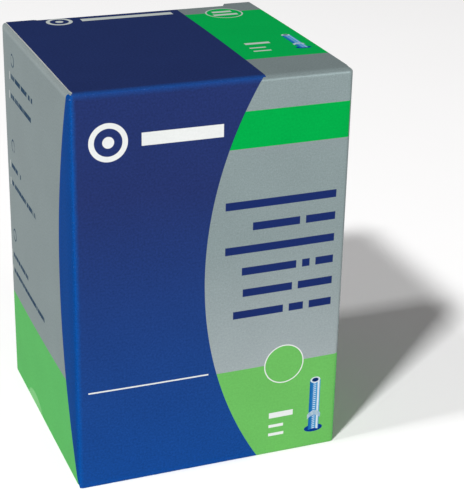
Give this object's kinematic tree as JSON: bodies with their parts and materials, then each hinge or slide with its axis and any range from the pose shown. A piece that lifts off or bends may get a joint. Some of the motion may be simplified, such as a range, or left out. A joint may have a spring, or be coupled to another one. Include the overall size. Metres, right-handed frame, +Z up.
{
  "type": "boxed inner tube",
  "caption": "Folding carton with a hinged tuck lid at each end, holding a folded bicycle inner tube with its car-type valve, rim nut and dust cap.",
  "frame": {"origin": "middle of the carton's base, on the surface it stands on", "axes": "+Z up, along the carton's height; +X to the right seen from the front; the printed front faces -Y"},
  "size_m": [0.075, 0.07, 0.11],
  "materials": {
    "printed_board": "varnished folding boxboard printed blue, silver and green",
    "raw_board": "unprinted inside of the board",
    "butyl": "matt black butyl with a dusting of talc",
    "seal_rubber": "moulded seal",
    "plated_brass": "nickel-plated",
    "bare_brass": "turned",
    "steel": "drawn wire",
    "black_plastic": "moulded black"
  },
  "bodies": {
    "carton": {"front_panel": "printed_board", "back_panel": "printed_board", "left_side_panel": "printed_board", "right_side_panel": "printed_board", "glue_flap": "raw_board"},
    "top_lid": {"top_lid": "printed_board"},
    "top_tuck": {"top_tuck_flap": "printed_board"},
    "top_left_dust": {"top_left_dust_flap": "printed_board"},
    "top_right_dust": {"top_right_dust_flap": "printed_board"},
    "bottom_lid": {"bottom_lid": "printed_board"},
    "bottom_tuck": {"bottom_tuck_flap": "printed_board"},
    "bottom_left_dust": {"bottom_left_dust_flap": "printed_board"},
    "bottom_right_dust": {"bottom_right_dust_flap": "printed_board"},
    "inner_tube": {"tube_body": "butyl", "valve_base": "butyl", "valve_stem": "plated_brass", "core_plug": "bare_brass", "core_barrel": "bare_brass", "core_barrel_seal": "seal_rubber", "core_spring": "steel"},
    "rim_nut": {"rim_nut": "plated_brass"},
    "cap_seal": {"cap_gasket": "seal_rubber"},
    "dust_cap": {"dust_cap": "black_plastic"},
    "valve_pin": {"core_pin": "steel", "core_cup_seal": "seal_rubber"}
  },
  "joints": [
    {"name": "top_lid_hinge", "type": "hinge", "parent": "carton", "child": "top_lid", "pos_m": [0, -0.0347, 0.1094], "axis": [1, 0, 0], "range_deg": [0, 175]},
    {"name": "top_tuck_fold", "type": "hinge", "parent": "top_lid", "child": "top_tuck", "pos_m": [0, 0.0338, 0.1094], "axis": [1, 0, 0], "range_deg": [0, 87.5]},
    {"name": "top_left_dust_fold", "type": "hinge", "parent": "carton", "child": "top_left_dust", "pos_m": [-0.0372, 0, 0.1085], "axis": [0, -1, 0], "range_deg": [0, 87.5]},
    {"name": "top_right_dust_fold", "type": "hinge", "parent": "carton", "child": "top_right_dust", "pos_m": [0.0372, 0, 0.1085], "axis": [0, 1, 0], "range_deg": [0, 87.5]},
    {"name": "bottom_lid_hinge", "type": "hinge", "parent": "carton", "child": "bottom_lid", "pos_m": [0, 0.0347, 0.0006], "axis": [1, 0, 0], "range_deg": [0, 175]},
    {"name": "bottom_tuck_fold", "type": "hinge", "parent": "bottom_lid", "child": "bottom_tuck", "pos_m": [0, -0.0338, 0.0006], "axis": [1, 0, 0], "range_deg": [0, 87.5]},
    {"name": "bottom_left_dust_fold", "type": "hinge", "parent": "carton", "child": "bottom_left_dust", "pos_m": [-0.0372, 0, 0.0015], "axis": [0, 1, 0], "range_deg": [0, 87.5]},
    {"name": "bottom_right_dust_fold", "type": "hinge", "parent": "carton", "child": "bottom_right_dust", "pos_m": [0.0372, 0, 0.0015], "axis": [0, -1, 0], "range_deg": [0, 87.5]},
    {"name": "tube_lift", "type": "slide", "parent": "carton", "child": "inner_tube", "axis": [0, 0, 1], "range_m": [0, 0.006]},
    {"name": "rim_nut_travel", "type": "slide", "parent": "inner_tube", "child": "rim_nut", "axis": [0, 0, 1], "range_m": [-0.003, 0.0185]},
    {"name": "cap_rise", "type": "slide", "parent": "inner_tube", "child": "cap_seal", "axis": [0, 0, 1], "range_m": [0, 0.00595]},
    {"name": "cap_turn", "type": "hinge", "parent": "cap_seal", "child": "dust_cap", "pos_m": [0, 0, 0.09], "axis": [0, 0, 1], "range_deg": [0, 2700]},
    {"name": "valve_pin_press", "type": "slide", "parent": "inner_tube", "child": "valve_pin", "axis": [0, 0, -1], "range_m": [0, 0.0015], "stiffness_N_per_m": 500, "springref_m": -0.003, "deforming": ["core_spring"]}
  ],
  "couplings": [
    {"joint": "top_tuck_fold", "follows": "top_lid_hinge", "ratio": 0.5},
    {"joint": "top_left_dust_fold", "follows": "top_lid_hinge", "ratio": 0.5},
    {"joint": "top_right_dust_fold", "follows": "top_lid_hinge", "ratio": 0.5},
    {"joint": "bottom_tuck_fold", "follows": "bottom_lid_hinge", "ratio": 0.5},
    {"joint": "bottom_left_dust_fold", "follows": "bottom_lid_hinge", "ratio": 0.5},
    {"joint": "bottom_right_dust_fold", "follows": "bottom_lid_hinge", "ratio": 0.5},
    {"joint": "cap_turn", "follows": "cap_rise", "rad_per_m": 7913.3}
  ]
}
